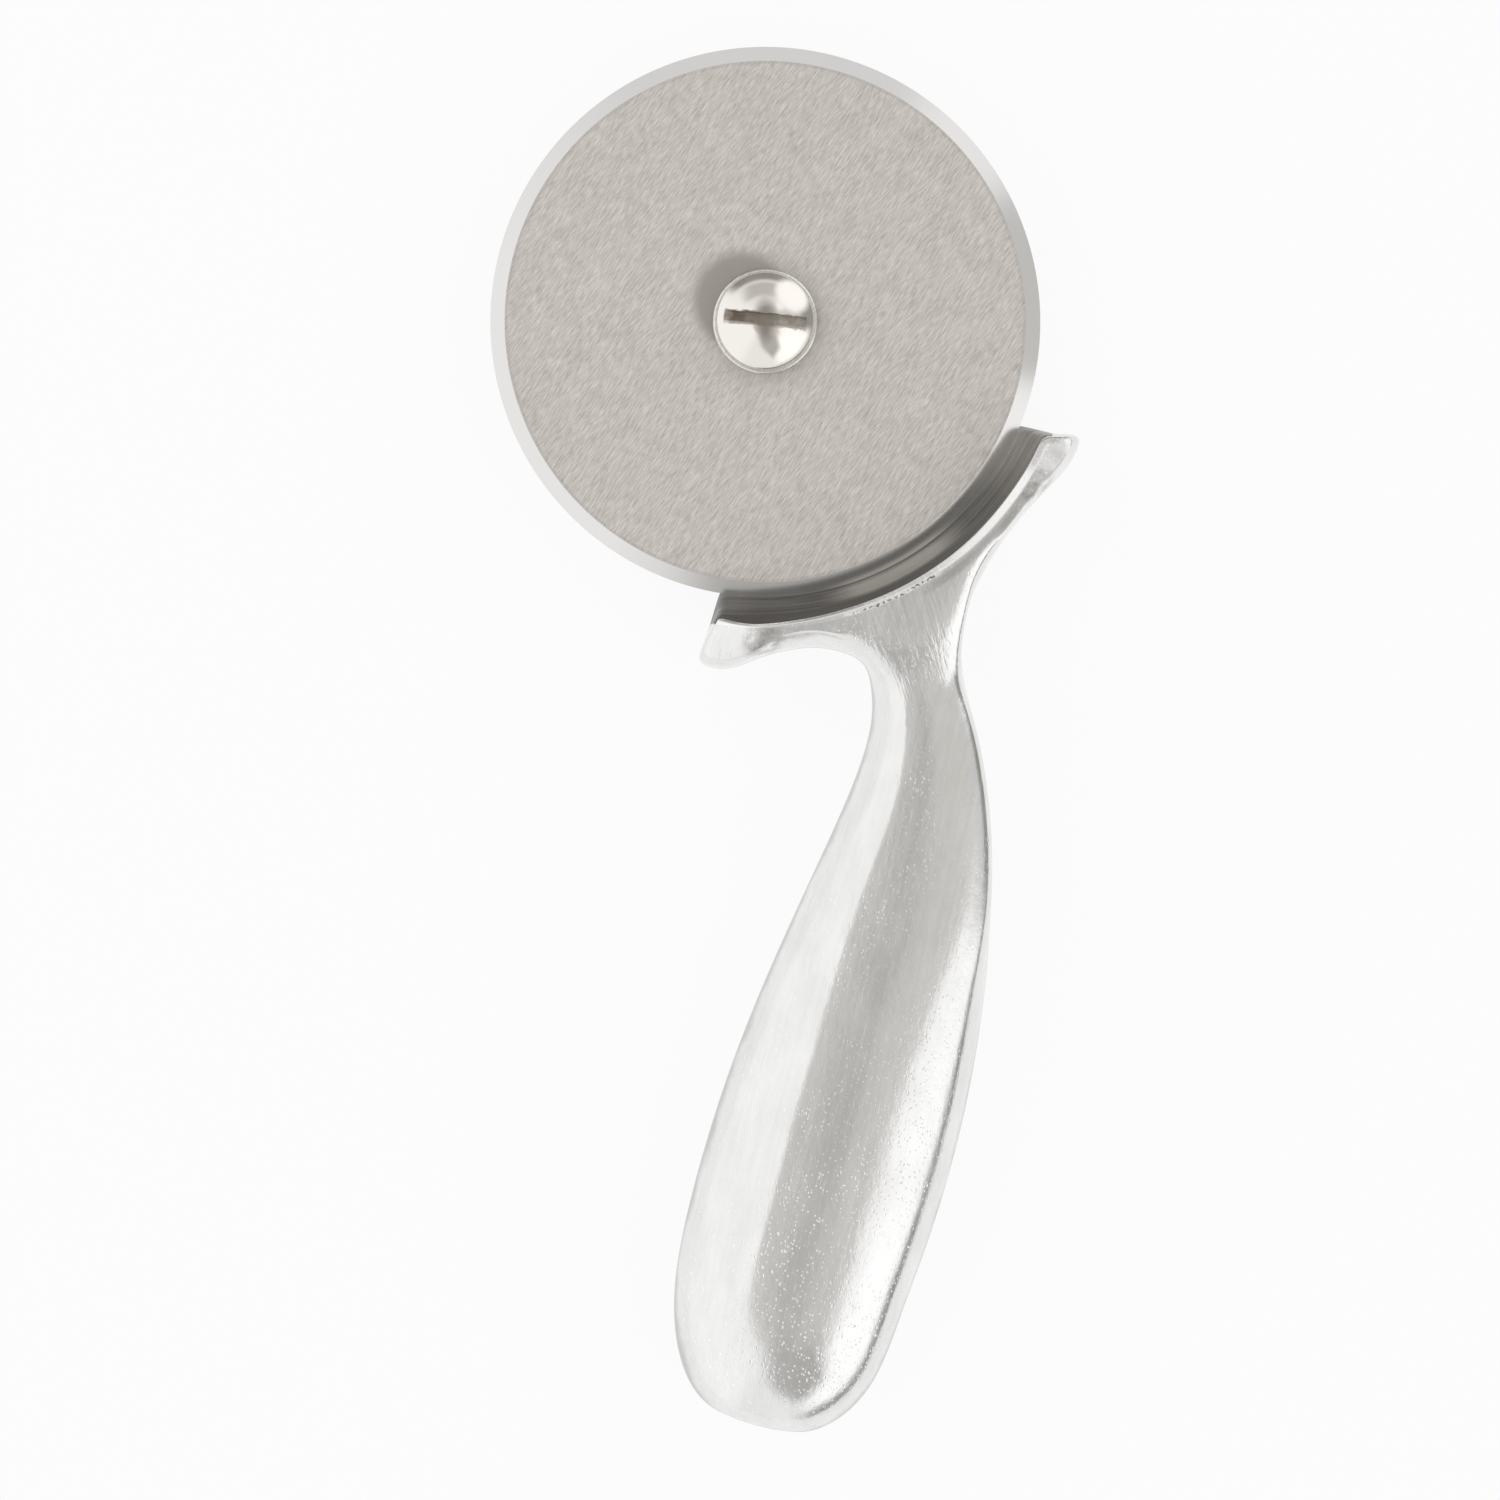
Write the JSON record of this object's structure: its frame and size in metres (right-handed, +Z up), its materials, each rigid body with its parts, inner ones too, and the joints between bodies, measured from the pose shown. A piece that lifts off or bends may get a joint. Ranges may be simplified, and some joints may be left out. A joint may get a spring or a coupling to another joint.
{
  "type": "pizza cutter",
  "caption": "Pizza cutter: a round steel blade turns on a slotted screw beside the arm of a one-piece cast handle, which has a curved finger guard and a teardrop grip.",
  "frame": {"origin": "On the surface that the cutter lies on, under the middle of its box", "axes": "+Z up along the wheel's axle with the screw's head on top, +Y from the butt of the grip towards the wheel, +X to the right of the handle"},
  "size_m": [0.1088, 0.2558, 0.026],
  "materials": {
    "cast_aluminium": "polished casting with fine pits and scratches",
    "blade_steel": "straight-brushed faces, ground bevel",
    "plated_screw": "polished nickel plate",
    "plated_hardware": "zinc plate",
    "sleeve_bronze": "turned",
    "washer_nylon": "natural nylon"
  },
  "bodies": {
    "handle": {"handle_casting": "cast_aluminium", "axle_screw": "plated_screw", "head_washer": "plated_hardware", "axle_sleeve": "sleeve_bronze", "thrust_washer": "washer_nylon", "lock_washer": "plated_hardware", "lock_nut": "plated_hardware"},
    "wheel": {"cutting_wheel": "blade_steel"}
  },
  "joints": [
    {"name": "wheel_spin", "type": "hinge", "parent": "handle", "child": "wheel", "pos_m": [-0.00361, 0.07711, 0.013], "axis": [0, 0, 1], "continuous": true}
  ]
}
